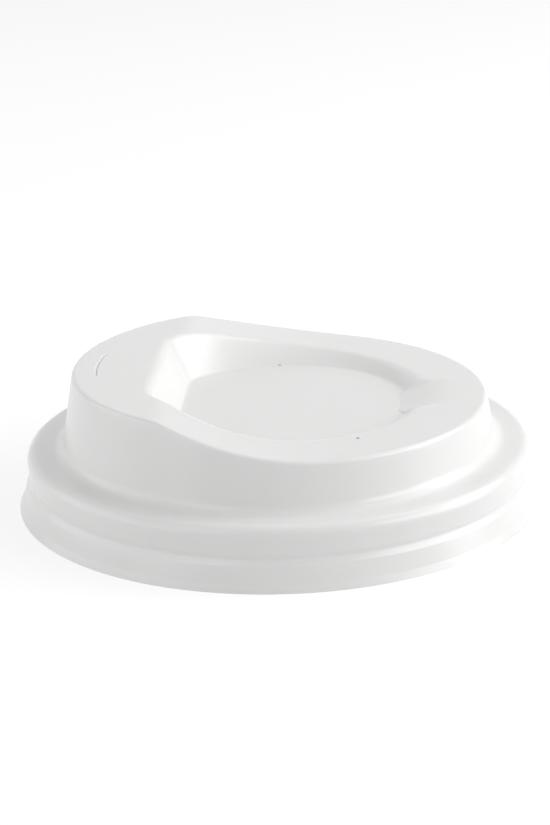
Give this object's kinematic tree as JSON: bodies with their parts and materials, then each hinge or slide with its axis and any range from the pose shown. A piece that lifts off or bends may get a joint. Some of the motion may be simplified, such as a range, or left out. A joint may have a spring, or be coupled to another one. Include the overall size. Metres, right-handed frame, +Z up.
{
  "type": "coffee cup lid",
  "caption": "Formed white plastic lid for a takeaway coffee cup, with a raised mouth side, a sip slot, a D-shaped well and a flared skirt under a rounded bead.",
  "frame": {"origin": "centre of the circle of the skirt's open edge, on the surface that the lid stands on", "axes": "+Z up through the dome, -X towards the mouth side with the sip slot, +X towards the low side"},
  "size_m": [0.0934, 0.0934, 0.0242],
  "materials": {
    "white_plastic": "satin white formed sheet, slightly translucent"
  },
  "bodies": {
    "root": {"lid": "white_plastic"}
  },
  "joints": []
}
